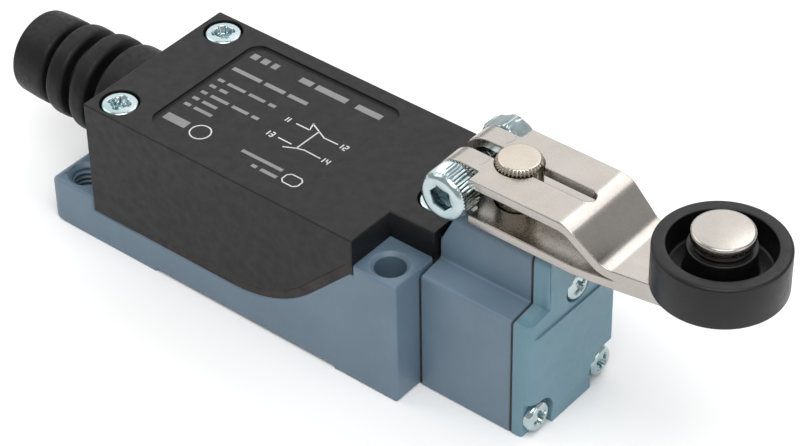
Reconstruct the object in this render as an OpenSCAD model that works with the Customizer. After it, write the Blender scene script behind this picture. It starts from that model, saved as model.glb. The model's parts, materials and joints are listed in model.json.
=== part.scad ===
// Compact limit switch with a clamped roller lever, lying on its mounting face.
// X runs from the cable end to the roller, Z is up out of the mounting face.

/* [Body] */
// Length of the base housing
base_len = 64; // [60:0.5:70]
// Width of the base and the cover
body_w = 28; // [27:0.5:31]
// Height of the cover's top face
cover_h = 24; // [23:0.5:26]
// Height of the flange at the cable end
flange_h = 7.5; // [6:0.5:8]
// Wall thickness of base and cover
wall_t = 2; // [1.6:0.1:2.4]
// Height of the split line along the sides
split_h = 5.3; // [4.5:0.1:6]
// Height of the split line at the head
rim_h = 18.3; // [17.5:0.1:19]
// Thickness of the cover gasket
gasket_t = 1.3; // [0.8:0.1:1.6]

/* [Mounting holes] */
// Spacing of the mounting holes along the body
pitch_x = 56; // [54:0.5:58]
// Spacing of the mounting holes across the body
pitch_y = 21; // [20:0.5:22]
// Radius of the plain mounting holes
hole_r = 2.15; // [2:0.05:2.6]
// Core radius of the tapped mounting holes
tap_r = 2.1; // [2:0.05:2.3]

/* [Head] */
// Width of the head block
head_w = 18.5; // [17:0.5:20]
// End of the head block along X
head_x = 15; // [14.5:0.1:16]
// Height of the head block's shoulder
shoulder_h = 19.1; // [18.5:0.1:20]
// Width of the head block's narrow upper part
neck_w = 10.2; // [9.8:0.1:11]
// Height of the head block's top
head_h = 27.8; // [27:0.1:28.2]
// Thickness of the end plate
plate_t = 3; // [2.8:0.1:3.2]

/* [Shaft and lever] */
// Position of the shaft along X
shaft_x = 9.1; // [8.8:0.1:9.4]
// Radius of the shaft
shaft_r = 3; // [2.8:0.05:3.1]
// Radius of the knurled end
knurl_r = 3.15; // [3.1:0.05:3.3]
// Top of the shaft
shaft_top = 37.05; // [36.8:0.05:38]
// Distance from shaft to roller
lever_r = 30.4; // [28:0.1:34]
// Thickness of the lever sheet
sheet_t = 1.4; // [1.2:0.1:1.6]
// Width of the lever at the shaft
lever_w = 13.2; // [12:0.1:15]
// Underside of the lever
lever_z = 28.95; // [28.8:0.05:29.4]
// Clear gap between the two legs
leg_gap = 4.4; // [4.2:0.1:5]
// Width of the slot in the upper leg
slot_w = 2.3; // [2:0.1:2.6]

/* [Roller] */
// Radius of the roller
roller_r = 8.6; // [7:0.1:10]
// Thickness of the roller
roller_t = 6.3; // [5:0.05:8]
// Bore radius of the roller
roller_bore = 2.55; // [2:0.05:3]

/* [Mechanism] */
// Height of the plunger's axis
plunger_z = 11.5; // [11:0.1:12]
// Radius of the plunger
plunger_r = 2; // [1.8:0.1:2.2]
// Largest radius of the cam
cam_r = 4.3; // [4.1:0.1:4.4]
// Travel of the plunger
travel = 1.2; // [0.8:0.1:1.2]

/* [Cable boot] */
// Height of the boot's axis
boot_z = 15.1; // [14.8:0.1:15.4]
// Largest radius of the boot
boot_r = 7.55; // [7:0.05:7.55]
// Bore radius of the boot
boot_bore = 3; // [2.5:0.1:4]

/* [Hidden] */
$fn = 48;
e = 0.01;
half_w = body_w / 2;
hole_x0 = -(base_len - pitch_x) / 2 + 0.4;
hole_x1 = hole_x0 - pitch_x;
hole_y = pitch_y / 2;
cover_x = -55;
skirt_x = -48;
cav_x0 = cover_x + wall_t + 0.1;
cav_x1 = -2.6;
cav_y = half_w - wall_t;
notch_x = -7.2;
notch_y = -6.05;
sink_r = 2.75;
sink_t = 0.6;
end_r = 2.2;
end_bevel = 0.9;
boot_core = 5.3;
boot_rib = 2.9;
arc_x = -29.2;
arc_r = 20.5;
arc_z = split_h + arc_r;
seam_t = 0.3;
head_x0 = seam_t;
plate_x = head_x + seam_t;
plate_end = plate_x + plate_t;
half_head = head_w / 2;
head_screw_y = 4.2;
head_screw_z = [6.9, 15.2];
seat_x = plate_end - 1.3;
pocket_r = 2.8;
plate_screw_y = 6.85;
plate_screw_z = 2.7;
top_screw_y = 1.1;
top_screw_z = 19.85;
plate_screw_len = 3.6;
screw_end = seat_x - plate_screw_len;
half_neck = neck_w / 2;
cover_screw_x = -51.3;
cover_screw_y = 10.6;
post_r = 3;
tongue_screw_x = -3.9;
seat_z = cover_h - 1.95;
m3_r = 1.5;
m3_head_r = 2.6;
m3_head_t = 1.9;
cover_head_r = 2.65;
cover_head_t = 2;
counterbore_r = 2.85;
long_screw = 20;
short_screw = 7;
tongue_z0 = 14.3;
earth_x = -47;
earth_y = 5;
earth_z = 4.5;
chamber_x0 = 2.8;
chamber_y = 6.4;
chamber_z0 = 4.5;
chamber_z1 = 17.5;
bush_r = 3.9;
bush_z0 = 21.2;
bush_z1 = 25.9;
seal_r = 4;
seal_z0 = 25.95;
seal_z1 = 27.6;
thread_r = 1.25;
low_z = lever_z + sheet_t;
up_z = low_z + leg_gap;
top_z = up_z + sheet_t;
fold_z = (low_z + up_z) / 2;
fold_x = 3;
fold_r = leg_gap / 2 + sheet_t;
finger_y = 4.45;
half_slot = slot_w / 2;
roller_x = shaft_x + lever_r;
stack_z = low_z + sheet_t;
roller_z0 = stack_z + 0.4;
roller_z1 = roller_z0 + roller_t;
bend_x = 19.7;
bend_a = 40;
bend_r = 4;
bend_run = (leg_gap - 2 * bend_r * (1 - cos(bend_a))) / sin(bend_a);
bend_end = bend_x + 2 * bend_r * sin(bend_a) + bend_run * cos(bend_a);
cam_x0 = shaft_x - cam_r;
piston_x = shaft_x + cam_r + 0.05;
block_x0 = -42;
block_x1 = -10;
block_y = 9.5;
block_z0 = 4;
block_z1 = 15;
slot_y = 5.6;
nose_x = -8.2;
term_y = 7.5;
nc_x = -15;
no_x = -31.5;
nc_bar = -15.8;
no_bar = -27.8;
bar_t = 0.8;
block_screw_x = -39;
block_screw_y = 7.2;
slot_z0 = 8.9;
tip_r = 0.9;
tip_y = 4.1;

// ---------- shared shapes ----------

// Box between two corners.
module box(a, b) {
  translate(a) cube(b - a);
}

// Cylinder along X.
module rod_x(x0, x1, r, y = 0, z = 0) {
  translate([x0, y, z]) rotate([0, 90, 0]) cylinder(h = x1 - x0, r = r);
}

// Cylinder along Y.
module rod_y(y0, y1, r, x = 0, z = 0) {
  translate([x, y1, z]) rotate([90, 0, 0]) cylinder(h = y1 - y0, r = r);
}

// Cylinder along Z.
module rod_z(z0, z1, r, x = 0, y = 0) {
  translate([x, y, z0]) cylinder(h = z1 - z0, r = r);
}

// Flat rectangle with round corners.
module round_rect(x0, x1, y0, y1, r) {
  translate([x0 + r, y0]) square([x1 - x0 - 2 * r, y1 - y0]);
  translate([x0, y0 + r]) square([x1 - x0, y1 - y0 - 2 * r]);
  for (x = [x0 + r, x1 - r], y = [y0 + r, y1 - r]) translate([x, y]) circle(r = r);
}

// Side view of everything above the split line, shifted up by rise.
module above_split(rise) {
  r = arc_r - rise;
  sx = arc_x + r * sin(45);
  sz = arc_z - r * cos(45);
  ex = sx + (rim_h + rise - sz);
  translate([cover_x - 20, split_h + rise]) square([arc_x - cover_x + 20, 60]);
  translate([arc_x, arc_z]) circle(r = r);
  polygon([[arc_x, arc_z], [sx, sz], [ex, rim_h + rise], [30, rim_h + rise], [30, 70], [arc_x, 70]]);
}

// Side view of the cover's skirt at the cable end, widened by gap.
module skirt_view(gap) {
  polygon([
    [cover_x - gap, split_h - 2], [skirt_x, split_h - 2], [skirt_x + gap, split_h],
    [skirt_x + 7 + gap, split_h + gasket_t + 0.2], [cover_x - gap, split_h + gasket_t + 0.2]
  ]);
}

// Strips along both sides where the skirt is, thick wide.
module skirt(thick, gap) {
  for (s = [-1, 1]) translate([0, s * (half_w - thick / 2) + thick / 2, 0]) rotate([90, 0, 0])
    linear_extrude(thick) skirt_view(gap);
}

// Block above the split line, across the whole width.
module above_block(rise) {
  translate([0, half_w + 10, 0]) rotate([90, 0, 0]) linear_extrude(body_w + 20) above_split(rise);
}

// Plan of the closed space inside base and cover.
module cavity_plan() {
  difference() {
    translate([cav_x0, -cav_y]) square([cav_x1 - cav_x0, 2 * cav_y]);
    translate([notch_x - wall_t, -half_w]) square([20, half_w + notch_y + wall_t]);
  }
}

// Pan-head screw pointing down, its seat at z.
module screw_z(x, y, z, len, r = m3_r, hr = m3_head_r, ht = m3_head_t) {
  rod_z(z - len, z + e, r, x, y);
  difference() {
    rod_z(z, z + ht, hr, x, y);
    translate([x, y, z + ht - 0.4]) cube([hr * 1.1, 0.6, 2], center = true);
    translate([x, y, z + ht - 0.4]) cube([0.6, hr * 1.1, 2], center = true);
  }
}

// ---------- base and cover ----------

// Side view of the flange; its end is rounded at the top and bevelled at the bottom.
module flange_view() {
  translate([-base_len + end_r, flange_h - end_r]) circle(r = end_r);
  polygon([
    [-base_len, end_bevel], [-base_len + end_bevel, 0], [cover_x + 8, 0],
    [cover_x + 8, flange_h], [-base_len + end_r, flange_h], [-base_len, flange_h - end_r]
  ]);
}

module base_solid() {
  difference() {
    box([cover_x - 0.2, -half_w, 0], [0, half_w, rim_h + 1]);
    above_block(0);
  }
  difference() {
    intersection() {
      linear_extrude(flange_h) round_rect(-base_len, cover_x + 6, -half_w, half_w, 2);
      translate([0, half_w + 1, 0]) rotate([90, 0, 0]) linear_extrude(body_w + 2) flange_view();
    }
    box([cover_x - 0.1, -half_w - 1, split_h], [cover_x + 10, half_w + 1, 20]);
  }
  linear_extrude(rim_h + 1.5) translate([notch_x, -half_w]) square([-notch_x, half_w + notch_y]);
}

module base_inside() {
  difference() {
    translate([0, 0, 2]) linear_extrude(30) cavity_plan();
    for (x = [block_x0, block_x1 - 6]) box([x, -9.3, 0], [x + 6, 9.3, block_z0]);
    for (s = [-1, 1]) rod_z(0, split_h, post_r, cover_screw_x, s * cover_screw_y);
    rod_z(tongue_z0, rim_h, post_r, tongue_screw_x, 0);
    box([tongue_screw_x, -post_r, tongue_z0], [0, post_r, rim_h]);
    box([hole_x0 - 3.6, hole_y - 3.4, 0], [0, half_w, 11.5]);
    rod_z(0, earth_z, 3, earth_x, earth_y);
  }
}

module base_housing() {
  color([0.42, 0.48, 0.53])
  difference() {
    base_solid();
    base_inside();
    box([-43.5, -half_w - 1, -1], [-11, half_w + 1, 0.4]);
    rod_z(-1, 30, hole_r, hole_x0, -hole_y);
    translate([hole_x0, -hole_y, rim_h + 1.5 - 0.5]) cylinder(h = 0.5 + e, r1 = hole_r, r2 = sink_r);
    rod_z(-1, 30, hole_r, hole_x1, hole_y);
    rod_z(-1, 30, tap_r, hole_x1, -hole_y);
    translate([hole_x1, -hole_y, flange_h - sink_t]) cylinder(h = sink_t + e, r1 = tap_r, r2 = sink_r);
    rod_z(-1, 10, tap_r, hole_x0, hole_y);
    for (s = [-1, 1]) rod_z(1.2, 30, m3_r + 0.02, cover_screw_x, s * cover_screw_y);
    rod_z(tongue_z0 - e, 30, m3_r + 0.02, tongue_screw_x, 0);
    for (s = [-1, 1]) rod_z(1.2, 10, m3_r + 0.02, block_screw_x, s * block_screw_y);
    rod_z(1.2, 10, m3_r + 0.02, earth_x, earth_y);
    rod_x(-5, 1, 2.4, 0, plunger_z);
    rod_x(-1.5, 1, seal_r, 0, plunger_z);
    for (s = [-1, 1], z = head_screw_z) rod_x(-5, 1, thread_r + 0.02, s * head_screw_y, z);
  }
}

// Plan of the gasket between base and cover.
module gasket_plan() {
  difference() {
    translate([cover_x + 0.05, -half_w + 0.15]) square([-cover_x - 0.1, body_w - 0.3]);
    translate([notch_x, -half_w - 1]) square([20, half_w + notch_y + 1]);
    difference() {
      cavity_plan();
      for (s = [-1, 1]) translate([cover_screw_x, s * cover_screw_y]) circle(r = post_r);
      translate([tongue_screw_x, 0]) circle(r = post_r);
      translate([tongue_screw_x, -post_r]) square([5, 2 * post_r]);
    }
    for (s = [-1, 1]) translate([cover_screw_x, s * cover_screw_y]) circle(r = m3_r + 0.05);
    translate([tongue_screw_x, 0]) circle(r = m3_r + 0.05);
  }
}

module cover_gasket() {
  color([0.3, 0.28, 0.27])
  difference() {
    translate([0, 0, 4]) linear_extrude(20) gasket_plan();
    skirt(1.02, 0.05);
    above_block(gasket_t);
    difference() {
      box([-70, -20, 0], [20, 20, 30]);
      above_block(0.005);
    }
  }
}

module cover() {
  color([0.2, 0.2, 0.21])
  difference() {
    union() {
      difference() {
        intersection() {
          box([cover_x, -half_w, split_h + 0.02], [0.1, half_w, cover_h]);
          union() {
            above_block(gasket_t);
            skirt(1, 0);
          }
        }
        translate([0, 0, -1]) linear_extrude(cover_h - wall_t + 1) cavity_plan();
        box([notch_x, -half_w - 1, 0], [20, notch_y, 40]);
      }
      for (s = [-1, 1]) rod_z(split_h + gasket_t, cover_h - 1, post_r, cover_screw_x, s * cover_screw_y);
      rod_z(rim_h + gasket_t, cover_h - 1, post_r, tongue_screw_x, 0);
    }
    for (s = [-1, 1]) {
      rod_z(0, 40, m3_r + 0.1, cover_screw_x, s * cover_screw_y);
      rod_z(seat_z, 40, counterbore_r, cover_screw_x, s * cover_screw_y);
    }
    rod_z(0, 40, m3_r + 0.1, tongue_screw_x, 0);
    rod_z(seat_z, 40, counterbore_r, tongue_screw_x, 0);
    translate([0, 0, cover_h - 0.4]) linear_extrude(5) round_rect(-45.8, -19, -11.1, 11.6, 2);
    rod_x(cover_x - 1, cav_x0 + 1, 5.52, 0, boot_z);
  }
}

module cover_screws() {
  color([0.8, 0.82, 0.82]) {
    for (s = [-1, 1]) screw_z(cover_screw_x, s * cover_screw_y, seat_z, long_screw, m3_r, cover_head_r, cover_head_t);
    screw_z(tongue_screw_x, 0, seat_z, short_screw, m3_r, cover_head_r, cover_head_t);
  }
}

module earth_screw() {
  color([0.75, 0.62, 0.3]) screw_z(earth_x, earth_y, earth_z + 0.02, 3);
}

// Ring of the boot between two stations.
module boot_ring(x, len, r) {
  rod_x(x - len + 0.5, x - 0.5, r, 0, boot_z);
  rod_x(x - len, x, r - 0.5, 0, boot_z);
}

module cable_boot() {
  color([0.1, 0.1, 0.1])
  difference() {
    union() {
      rod_x(cav_x0 + 0.02, cav_x0 + 1.5, 6.4, 0, boot_z);
      rod_x(cover_x - 0.5, cav_x0 + 0.5, 5.5, 0, boot_z);
      rod_x(-74, cover_x - 0.02, boot_core, 0, boot_z);
      boot_ring(cover_x - 0.02, 5.7, boot_r);
      boot_ring(cover_x - 7.6, boot_rib, boot_r - 0.15);
      boot_ring(cover_x - 12.5, boot_rib, boot_r - 0.6);
      boot_ring(cover_x - 16.8, 6.1, boot_r - 1.05);
    }
    rod_x(-90, -40, boot_bore, 0, boot_z);
  }
}

// ---------- head ----------

// Outline of the head block in the YZ plane.
module head_outline(shrink = 0) {
  hw = half_head - shrink;
  nw = half_neck - shrink;
  sh = shoulder_h - shrink;
  hh = head_h - shrink;
  translate([-hw, shrink]) square([2 * hw, sh - 0.6 - shrink]);
  translate([-hw + 0.6, shrink]) square([2 * hw - 1.2, sh - shrink]);
  for (s = [-1, 1]) translate([s * (hw - 0.6), sh - 0.6]) circle(r = 0.6);
  polygon([[-hw + 0.6, sh - e], [hw - 0.6, sh - e], [nw, sh + 0.5], [-nw, sh + 0.5]]);
  translate([-nw, sh]) square([2 * nw, hh - 1.8 - sh]);
  translate([-nw + 1.8, sh]) square([2 * nw - 3.6, hh - sh]);
  for (s = [-1, 1]) translate([s * (nw - 1.8), hh - 1.8]) circle(r = 1.8);
}

// Head outline extruded along X.
module head_slab(x0, x1, shrink = 0) {
  translate([x0, 0, 0]) rotate([90, 0, 90]) linear_extrude(x1 - x0) head_outline(shrink);
}

module head_gasket() {
  color([0.12, 0.12, 0.12])
  difference() {
    box([0.01, -half_head + 0.15, 0.15], [seam_t - 0.01, half_head - 0.15, rim_h - 0.1]);
    rod_x(-1, 1, 2.6, 0, plunger_z);
    for (s = [-1, 1], z = head_screw_z) rod_x(-1, 1, thread_r + 0.1, s * head_screw_y, z);
  }
}

module head_block() {
  color([0.42, 0.48, 0.53])
  difference() {
    head_slab(head_x0, head_x);
    translate([0, 20, 0]) rotate([90, 0, 0]) linear_extrude(40)
      polygon([[-2, 22.8], [0.5, 22.8], [3, head_h + 0.1], [3, 40], [-2, 40]]);
    box([chamber_x0, -chamber_y, chamber_z0], [head_x + 1, chamber_y, chamber_z1]);
    rod_z(1.4, 6, 2.05, shaft_x);
    rod_z(15, 40, shaft_r + 0.3, shaft_x);
    rod_z(bush_z0, 40, bush_r + 0.02, shaft_x);
    rod_z(seal_z0, 40, seal_r + 0.02, shaft_x);
    rod_x(0, 4, plunger_r + 0.05, 0, plunger_z);
    for (s = [-1, 1], z = head_screw_z) rod_x(0, 4, thread_r + 0.1, s * head_screw_y, z);
    for (s = [-1, 1]) rod_x(screw_end - 1, 20, m3_r + 0.02, s * plate_screw_y, plate_screw_z);
    rod_x(screw_end - 0.2, 20, m3_r + 0.02, top_screw_y, top_screw_z);
  }
}

module head_screws() {
  color([0.78, 0.8, 0.8])
  for (s = [-1, 1], z = head_screw_z) difference() {
    union() {
      rod_x(-2.5, chamber_x0 + 0.03, thread_r, s * head_screw_y, z);
      rod_x(chamber_x0 + 0.02, chamber_x0 + 1.5, 2.1, s * head_screw_y, z);
    }
    translate([chamber_x0 + 1.5, s * head_screw_y, z]) cube([1.4, 0.5, 2.4], center = true);
    translate([chamber_x0 + 1.5, s * head_screw_y, z]) cube([1.4, 2.4, 0.5], center = true);
  }
}

module end_gasket() {
  color([0.12, 0.12, 0.12])
  difference() {
    head_slab(head_x + 0.01, plate_x - 0.01, 0.12);
    box([0, -chamber_y, chamber_z0], [30, chamber_y, chamber_z1]);
    for (s = [-1, 1]) rod_x(0, 30, m3_r + 0.1, s * plate_screw_y, plate_screw_z);
    rod_x(0, 30, m3_r + 0.1, top_screw_y, top_screw_z);
  }
}

// Plan of the end plate; the corner on the -Y side has the larger radius.
module plate_plan(hw, near_r, far_r) {
  intersection() {
    round_rect(plate_x - 5, plate_end, -hw, hw + 5, near_r);
    round_rect(plate_x - 5, plate_end, -hw - 5, hw, far_r);
  }
}

module end_plate() {
  color([0.44, 0.54, 0.58])
  difference() {
    intersection() {
      head_slab(plate_x, plate_end + 1);
      union() {
        linear_extrude(shoulder_h + 0.5) plate_plan(half_head, 2.2, 0.8);
        linear_extrude(40) plate_plan(half_neck, 1, 0.8);
      }
    }
    box([plate_end - 0.3, -20, 16.8], [plate_end + 2, 20, 40]);
    for (s = [-1, 1]) {
      rod_x(seat_x, 20, pocket_r, s * plate_screw_y, plate_screw_z);
      box([seat_x, s * 9.4 - 2.5, -1], [20, s * 9.4 + 2.5, plate_screw_z + pocket_r]);
      box([seat_x, s * 8.2 - 3.9, -1], [20, s * 8.2 + 3.9, plate_screw_z]);
      rod_x(10, 30, m3_r + 0.1, s * plate_screw_y, plate_screw_z);
    }
    rod_x(seat_x, 20, 2.4, top_screw_y, top_screw_z);
    rod_x(10, 30, m3_r + 0.1, top_screw_y, top_screw_z);
    rod_x(10, 15.9, 4.4, 0, plunger_z);
    rod_x(10, 17, 3.3, 0, plunger_z);
  }
}

// Pan-head screw along X with its seat on the end plate.
module plate_screw(y, z) {
  difference() {
    union() {
      rod_x(seat_x - plate_screw_len, seat_x + 0.01, m3_r, y, z);
      rod_x(seat_x, seat_x + 1.45, 2.2, y, z);
    }
    translate([seat_x + 1.5, y, z]) cube([1.4, 0.6, 2.4], center = true);
    translate([seat_x + 1.5, y, z]) cube([1.4, 2.4, 0.6], center = true);
  }
}

module end_plate_screws() {
  color([0.78, 0.8, 0.8]) {
    for (s = [-1, 1]) plate_screw(s * plate_screw_y, plate_screw_z);
    plate_screw(top_screw_y, top_screw_z);
  }
}

module shaft_bush() {
  color([0.72, 0.58, 0.3])
  difference() {
    rod_z(bush_z0 + 0.02, bush_z1, bush_r, shaft_x);
    rod_z(20, 30, shaft_r + 0.04, shaft_x);
  }
}

module shaft_seal() {
  color([0.08, 0.08, 0.08])
  difference() {
    rod_z(seal_z0 + 0.02, seal_z1, seal_r, shaft_x);
    rod_z(20, 30, shaft_r + 0.04, shaft_x);
  }
}

// ---------- shaft and lever ----------

module shaft() {
  color([0.72, 0.7, 0.66])
  difference() {
    union() {
      rod_z(1.6, 5, 2, shaft_x);
      rod_z(4.6, 17.6, shaft_r, shaft_x);
      rod_z(17, 21.05, shaft_r - 0.2, shaft_x);
      rod_z(21.05, top_z - 3, shaft_r, shaft_x);
      rod_z(top_z - 3, shaft_top - 0.45, knurl_r, shaft_x);
      translate([shaft_x, 0, shaft_top - 0.46]) cylinder(h = 0.46, r1 = knurl_r, r2 = 2.7);
    }
    rod_y(-10, 10, 0.78, shaft_x, plunger_z);
  }
}

module thrust_washer() {
  color([0.75, 0.74, 0.7])
  difference() {
    rod_z(15.52, 17.4, 4.1, shaft_x);
    rod_z(10, 20, shaft_r + 0.02, shaft_x);
  }
}

module cam() {
  color([0.6, 0.6, 0.6])
  difference() {
    rod_z(7.5, 15.5, cam_r, shaft_x);
    rod_z(0, 20, shaft_r + 0.02, shaft_x);
    rod_z(0, 20, 2.4, cam_x0 - 1.6);
    box([shaft_x + cam_r - 0.4, -10, 0], [30, 10, 20]);
    rod_y(-10, 10, 0.78, shaft_x, plunger_z);
  }
}

module cam_pin() {
  color([0.65, 0.65, 0.66]) rod_y(-4.1, 4.1, 0.75, shaft_x, plunger_z);
}

// Points of the bend between the legs, offset from the sheet's middle by d.
function bend_line(d) = concat(
  [for (a = [0 : 5 : bend_a])
    [bend_x + (bend_r + d) * sin(a), up_z + sheet_t / 2 - bend_r + (bend_r + d) * cos(a)]],
  [for (a = [bend_a : -5 : 0])
    [bend_end - (bend_r - d) * sin(a), low_z + sheet_t / 2 + bend_r - (bend_r - d) * cos(a)]]
);

// Points round the fold, from the lower leg to the upper leg.
function fold_line(r) = [
  for (a = [270 : -7.5 : 90]) [fold_x + r * cos(a), fold_z + r * sin(a)]
];

// Side view of the folded sheet.
module lever_side() {
  tip = roller_x + 5;
  difference() {
    polygon(concat([[tip, lever_z]], fold_line(fold_r), bend_line(sheet_t / 2), [[tip, stack_z]]));
    polygon(concat(fold_line(fold_r - sheet_t), bend_line(-sheet_t / 2)));
  }
}

// Plan outline of the lever.
module lever_plan() {
  w = lever_w / 2;
  translate([-5, -finger_y]) square([12, 2 * finger_y]);
  polygon([
    [6.1, -w], [22, -w], [25, -w + 0.35], [roller_x - 0.7, -3.95],
    [roller_x - 0.7, 3.95], [25, w - 0.35], [22, w], [6.1, w]
  ]);
  translate([roller_x, 0]) circle(r = 4);
}

module lever_arm() {
  color([0.78, 0.76, 0.73])
  difference() {
    intersection() {
      translate([0, 20, 0]) rotate([90, 0, 0]) linear_extrude(40) lever_side();
      linear_extrude(60) lever_plan();
    }
    box([-5, -half_slot, 0], [shaft_x, half_slot, 60]);
    box([shaft_x, -half_slot, up_z - 1], [19.6, half_slot, 60]);
    rod_z(up_z - 1, 60, half_slot, 19.6);
    rod_z(up_z - 1, 60, knurl_r + 0.02, shaft_x);
    rod_z(20, up_z, shaft_r + 0.05, shaft_x);
    rod_z(20, 60, 2.02, roller_x);
  }
}

module clamp_screw() {
  color([0.74, 0.76, 0.76])
  difference() {
    union() {
      rod_y(-finger_y - 4.02, -finger_y - 0.02, 3.5, fold_x, fold_z);
      rod_y(-finger_y - 0.1, finger_y + 3.9, 1.95, fold_x, fold_z);
    }
    translate([fold_x, -finger_y - 1.7, fold_z]) rotate([90, 0, 0]) cylinder(h = 5, r = 1.75, $fn = 6);
  }
}

module clamp_nut() {
  color([0.74, 0.77, 0.77])
  difference() {
    translate([fold_x, finger_y + 3.22, fold_z]) rotate([90, -26, 0]) cylinder(h = 3.2, r = 4.04, $fn = 6);
    rod_y(0, 20, 1.97, fold_x, fold_z);
  }
}

module roller_pin() {
  color([0.77, 0.75, 0.73]) {
    rod_z(lever_z - 0.8, lever_z - 0.01, 3, roller_x);
    rod_z(lever_z - 0.1, stack_z + 0.1, 2, roller_x);
    rod_z(stack_z + 0.01, roller_z1 + 0.3, roller_bore - 0.05, roller_x);
    rod_z(roller_z1 + 0.2, roller_z1 + 2.3, 4, roller_x);
  }
}

module roller_washer() {
  color([0.7, 0.7, 0.7])
  difference() {
    rod_z(stack_z + 0.01, stack_z + 0.3, 4.2, roller_x);
    rod_z(20, 60, roller_bore, roller_x);
  }
}

module roller() {
  color([0.2, 0.2, 0.2])
  difference() {
    union() {
      rod_z(roller_z0 + 0.35, roller_z1 - 0.35, roller_r, roller_x);
      rod_z(roller_z0, roller_z1, roller_r - 0.35, roller_x);
    }
    difference() {
      rod_z(roller_z1 - 3.9, roller_z1 + 1, 6.8, roller_x);
      rod_z(roller_z1 - 5, roller_z1 + 2, 4.4, roller_x);
    }
    rod_z(0, 60, roller_bore, roller_x);
  }
}

// ---------- head mechanism ----------

module return_piston() {
  color([0.82, 0.8, 0.72]) {
    rod_x(piston_x, piston_x + 0.9, 4, 0, plunger_z);
    rod_x(piston_x + 0.8, piston_x + 1.6, 2, 0, plunger_z);
  }
}

module return_spring() {
  color([0.6, 0.6, 0.62])
  difference() {
    rod_x(piston_x + 0.92, 16.98, 3, 0, plunger_z);
    rod_x(0, 30, 2.4, 0, plunger_z);
  }
}

module plunger() {
  color([0.85, 0.83, 0.75]) {
    rod_x(nose_x + 0.1, cam_x0 - 0.1 - plunger_r, plunger_r, 0, plunger_z);
    translate([cam_x0 - 0.1 - plunger_r, 0, plunger_z]) sphere(r = plunger_r);
  }
}

module plunger_seal() {
  color([0.1, 0.1, 0.1])
  difference() {
    rod_x(-1.48, -0.01, seal_r - 0.02, 0, plunger_z);
    rod_x(-5, 5, plunger_r + 0.04, 0, plunger_z);
  }
}

// ---------- contact block ----------

module block_base() {
  color([0.16, 0.16, 0.17])
  difference() {
    union() {
      box([block_x0, -block_y, block_z0 + 0.01], [block_x1, block_y, block_z1]);
      box([block_x0, -5.4, 5], [block_x0 + 2, 5.4, block_z1 + 1]);
      box([block_x1 - 2, -5.4, 5], [block_x1, 5.4, block_z1 + 1]);
    }
    box([block_x0 + 2, -slot_y, slot_z0], [block_x1 - 2, slot_y, 30]);
    rod_x(block_x1 - 5, 0, 2.25, 0, plunger_z);
    for (x = [nc_x, no_x], s = [-1, 1]) rod_z(8, 30, m3_r + 0.05, x, s * term_y);
    for (s = [-1, 1]) {
      rod_z(0, 30, m3_r + 0.05, block_screw_x, s * block_screw_y);
      rod_z(6.5, 30, 2.9, block_screw_x, s * block_screw_y);
      box([block_screw_x - 2.9, s * 9 - 1.8, 6.5], [block_screw_x + 2.9, s * 9 + 1.8, 30]);
    }
  }
}

module block_cover() {
  color([0.86, 0.85, 0.8])
  box([block_x0, -5.4, block_z1 + 1.01], [block_x1, 5.4, block_z1 + 2.8]);
}

module block_screws() {
  color([0.78, 0.8, 0.8]) for (s = [-1, 1]) screw_z(block_screw_x, s * block_screw_y, 6.52, 5);
}

module carrier() {
  color([0.75, 0.2, 0.15])
  difference() {
    union() {
      box([-36, -2.1, 9], [-12.7, 2.1, 14]);
      rod_x(-13, nose_x, 2.2, 0, plunger_z);
    }
    box([nc_bar - 2.8, -5, 10.3], [nc_bar + bar_t + 0.2, 5, 12.7]);
    box([no_bar - 0.2, -5, 10.3], [no_bar + bar_t + 2.8, 5, 12.7]);
  }
}

module carrier_spring() {
  color([0.62, 0.62, 0.64])
  difference() {
    rod_x(block_x0 + 2.05, -36.05, 1.8, 0, plunger_z);
    rod_x(-50, -30, 1.3, 0, plunger_z);
  }
}

// Contact bridge with its two contact tips on the side that meets the terminals.
module bridge(x, side) {
  box([x, -5, 10.5], [x + bar_t, 5, 12.5]);
  tip = side > 0 ? x + bar_t : x;
  for (s = [-1, 1]) rod_x(min(tip, tip + side * 0.3), max(tip, tip + side * 0.3), tip_r, s * tip_y, plunger_z);
}

module closed_bridge() {
  color([0.75, 0.55, 0.3]) bridge(nc_bar, 1);
}

module open_bridge() {
  color([0.75, 0.55, 0.3]) bridge(no_bar, -1);
}

module bridge_spring(x0, x1) {
  color([0.62, 0.62, 0.64])
  difference() {
    rod_x(x0 + 0.02, x1 - 0.02, 1.1, 0, plunger_z);
    rod_x(x0 - 5, x1 + 5, 0.75, 0, plunger_z);
  }
}

module closed_bridge_spring() {
  bridge_spring(nc_bar - 2.8, nc_bar);
}

module open_bridge_spring() {
  bridge_spring(no_bar + bar_t, no_bar + bar_t + 2.8);
}

// Bent strip with a contact on its leg; side is the wall's side, face the contact's direction.
module terminal(leg_x, screw_x, side, face) {
  x0 = min(leg_x, screw_x - 2.4);
  x1 = max(leg_x + 0.8, screw_x + 2.4);
  contact = face > 0 ? leg_x + 0.8 : leg_x;
  color([0.8, 0.66, 0.32]) scale([1, side, 1])
  difference() {
    union() {
      box([leg_x, 3, 9.8], [leg_x + 0.8, 5.3, block_z1 + 0.8]);
      box([x0, 3, block_z1 + 0.02], [x1, 9.3, block_z1 + 0.8]);
      rod_x(min(contact, contact + face * 0.3), max(contact, contact + face * 0.3), tip_r, tip_y, plunger_z);
    }
    rod_z(0, 30, m3_r + 0.02, screw_x, term_y);
  }
}

nc_leg = nc_bar + bar_t + 0.65;
no_leg = no_bar - 0.6 - travel - 0.05 - 0.8;

module terminal_11() {
  terminal(nc_leg, nc_x, -1, -1);
}

module terminal_12() {
  terminal(nc_leg, nc_x, 1, -1);
}

module terminal_13() {
  terminal(no_leg, no_x, -1, 1);
}

module terminal_14() {
  terminal(no_leg, no_x, 1, 1);
}

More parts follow.
